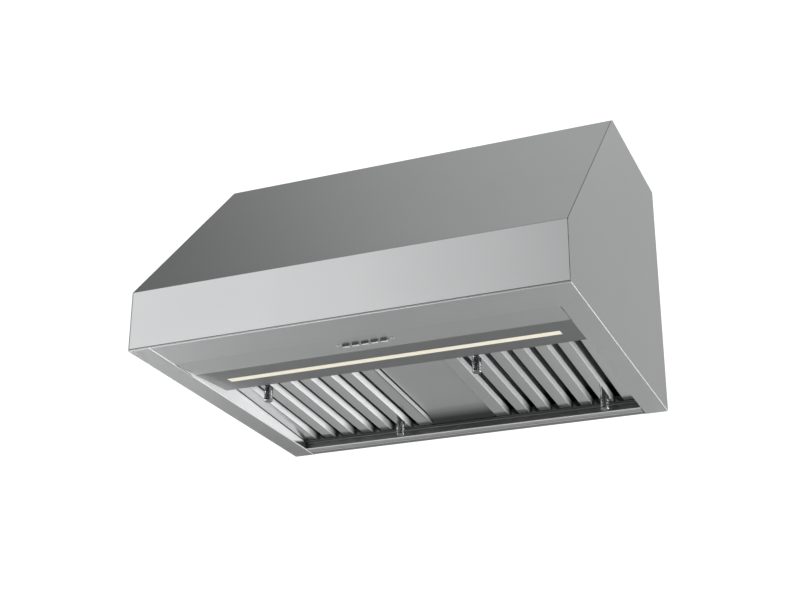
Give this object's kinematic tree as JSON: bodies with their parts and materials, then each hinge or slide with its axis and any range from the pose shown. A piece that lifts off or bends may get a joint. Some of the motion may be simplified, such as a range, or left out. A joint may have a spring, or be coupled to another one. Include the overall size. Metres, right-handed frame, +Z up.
{
  "type": "range hood",
  "caption": "Under-cabinet range hood with a sloped front, baffle filters on lift-out ledges, a strip lamp, push buttons, a blower and a round duct outlet with backdraft flaps.",
  "frame": {"origin": "centre of the four wall screw holes, on the plane of the wall, 250 mm above the hood's bottom plane", "axes": "+X to the right seen from the cook, +Y into the wall, +Z up; the front faces -Y"},
  "size_m": [0.762, 0.635, 0.5034],
  "materials": {
    "shell_steel": "brushed, grain lengthwise",
    "light_panel_steel": "brushed, darker than the shell",
    "filter_steel": "semi-polished stainless",
    "polished_metal": "polished",
    "galvanised_sheet": "galvanised, dull",
    "motor_paint": "satin black",
    "lamp_housing": "extruded, plain",
    "lens": "opal diffuser, warm white",
    "circuit_board": "lacquered board",
    "grey_plastic": "moulded",
    "button_plastic": "dark, polished edges",
    "black_plastic": "moulded"
  },
  "bodies": {
    "hood": {"outer_wrap": "shell_steel", "left_side_panel": "shell_steel", "right_side_panel": "shell_steel", "back_panel": "shell_steel", "bottom_frame": "shell_steel", "left_liner": "shell_steel", "right_liner": "shell_steel", "light_panel": "light_panel_steel", "led_lens": "lens", "led_board": "circuit_board", "led_housing": "lamp_housing", "led_driver": "grey_plastic", "switch_body": "grey_plastic", "switch_screws": "polished_metal", "grease_rail": "shell_steel", "grease_trough": "shell_steel", "rear_flange": "shell_steel", "centre_panel": "shell_steel", "blower_wrapper": "galvanised_sheet", "blower_inlet_plate": "galvanised_sheet", "blower_motor_plate": "galvanised_sheet", "inlet_ring": "galvanised_sheet", "motor": "motor_paint", "motor_mount": "polished_metal", "capacitor": "polished_metal", "junction_box": "galvanised_sheet", "junction_cover": "galvanised_sheet", "cable_bushing": "black_plastic", "duct_collar": "shell_steel", "damper_rod": "polished_metal", "flange_screws": "polished_metal"},
    "left_filter": {"left_filter_frame": "filter_steel", "left_filter_lower_baffles": "filter_steel", "left_filter_upper_baffles": "filter_steel", "left_filter_knobs": "polished_metal", "left_filter_knob_nuts": "polished_metal"},
    "right_filter": {"right_filter_frame": "filter_steel", "right_filter_lower_baffles": "filter_steel", "right_filter_upper_baffles": "filter_steel", "right_filter_knobs": "polished_metal", "right_filter_knob_nuts": "polished_metal"},
    "light_button": {"light_button": "button_plastic"},
    "off_button": {"off_button": "button_plastic"},
    "low_button": {"low_button": "button_plastic"},
    "medium_button": {"medium_button": "button_plastic"},
    "high_button": {"high_button": "button_plastic"},
    "impeller": {"impeller": "galvanised_sheet", "motor_shaft": "polished_metal"},
    "front_flap": {"front_damper_flap": "galvanised_sheet"},
    "rear_flap": {"rear_damper_flap": "galvanised_sheet"}
  },
  "joints": [
    {"name": "light_button_press", "type": "slide", "parent": "hood", "child": "light_button", "axis": [0, -0.0623, 0.9981], "range_m": [0, 0.002], "stiffness_N_per_m": 350, "springref_m": -0.001},
    {"name": "off_button_press", "type": "slide", "parent": "hood", "child": "off_button", "axis": [0, -0.0623, 0.9981], "range_m": [0, 0.002], "stiffness_N_per_m": 350, "springref_m": -0.001},
    {"name": "low_button_press", "type": "slide", "parent": "hood", "child": "low_button", "axis": [0, -0.0623, 0.9981], "range_m": [0, 0.002], "stiffness_N_per_m": 350, "springref_m": -0.001},
    {"name": "medium_button_press", "type": "slide", "parent": "hood", "child": "medium_button", "axis": [0, -0.0623, 0.9981], "range_m": [0, 0.002], "stiffness_N_per_m": 350, "springref_m": -0.001},
    {"name": "high_button_press", "type": "slide", "parent": "hood", "child": "high_button", "axis": [0, -0.0623, 0.9981], "range_m": [0, 0.002], "stiffness_N_per_m": 350, "springref_m": -0.001},
    {"name": "left_filter_lift", "type": "slide", "parent": "hood", "child": "left_filter", "axis": [0, 0, 1], "range_m": [0, 0.03]},
    {"name": "right_filter_lift", "type": "slide", "parent": "hood", "child": "right_filter", "axis": [0, 0, 1], "range_m": [0, 0.03]},
    {"name": "impeller_spin", "type": "hinge", "parent": "hood", "child": "impeller", "pos_m": [0, -0.23575, 0.012], "axis": [1, 0, 0], "continuous": true},
    {"name": "rear_flap_swing", "type": "hinge", "parent": "hood", "child": "rear_flap", "pos_m": [0, -0.13, 0.212], "axis": [1, 0, 0], "range_deg": [0, 75]},
    {"name": "front_flap_swing", "type": "hinge", "parent": "hood", "child": "front_flap", "pos_m": [0, -0.13, 0.212], "axis": [-1, 0, 0], "range_deg": [0, 75]}
  ]
}
